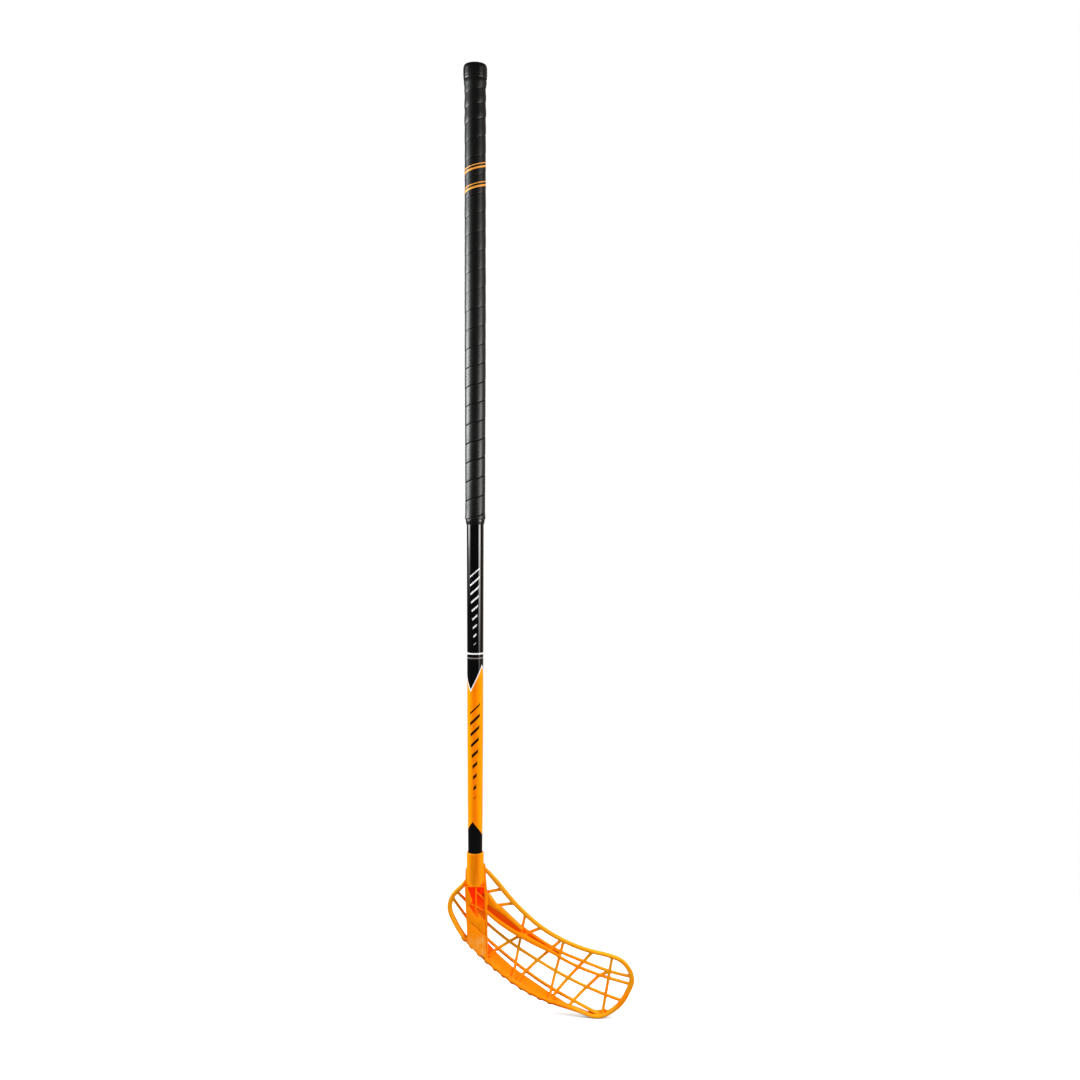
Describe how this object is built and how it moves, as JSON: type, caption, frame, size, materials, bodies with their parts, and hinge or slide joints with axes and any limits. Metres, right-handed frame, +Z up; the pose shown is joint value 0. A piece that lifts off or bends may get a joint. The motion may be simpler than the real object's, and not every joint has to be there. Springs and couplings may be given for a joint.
{
  "type": "floorball stick",
  "caption": "Floorball stick: tapered tube shaft with a wound cushioned grip and a rubber end cap, and an open ribbed, hooked blade screwed to its lower end.",
  "frame": {"origin": "on the shaft's axis, in the middle of the upper hand's hold", "axes": "+Z up the shaft to the butt end, +X along the blade to its toe, +Y away from the playing side"},
  "size_m": [0.2272, 0.0396, 1.1619],
  "materials": {
    "shaft_laminate": "gloss lacquer over a fibre laminate, black with an orange stretch above the blade",
    "insert_plastic": "moulded plug, hidden",
    "blade_plastic": "orange moulded plastic, slightly translucent",
    "grip_foam": "black cushioned tape with a satin skin",
    "end_tape": "black adhesive tape",
    "cap_rubber": "smooth black rubber",
    "screw_steel": "zinc-plated steel"
  },
  "bodies": {
    "stick": {"shaft_tube": "shaft_laminate", "shaft_insert": "insert_plastic", "blade": "blade_plastic", "grip_tape": "grip_foam", "grip_end_tape": "end_tape"},
    "end_cap": {"end_cap": "cap_rubber"},
    "blade_screw_upper": {"blade_screw_upper": "screw_steel"},
    "blade_screw_lower": {"blade_screw_lower": "screw_steel"}
  },
  "joints": [
    {"name": "cap_pull", "type": "slide", "parent": "stick", "child": "end_cap", "axis": [0, 0, 1], "range_m": [0, 0.035]},
    {"name": "upper_screw_out", "type": "slide", "parent": "stick", "child": "blade_screw_upper", "axis": [0, 1, 0], "range_m": [0, 0.014]},
    {"name": "lower_screw_out", "type": "slide", "parent": "stick", "child": "blade_screw_lower", "axis": [0, 1, 0], "range_m": [0, 0.014]}
  ]
}
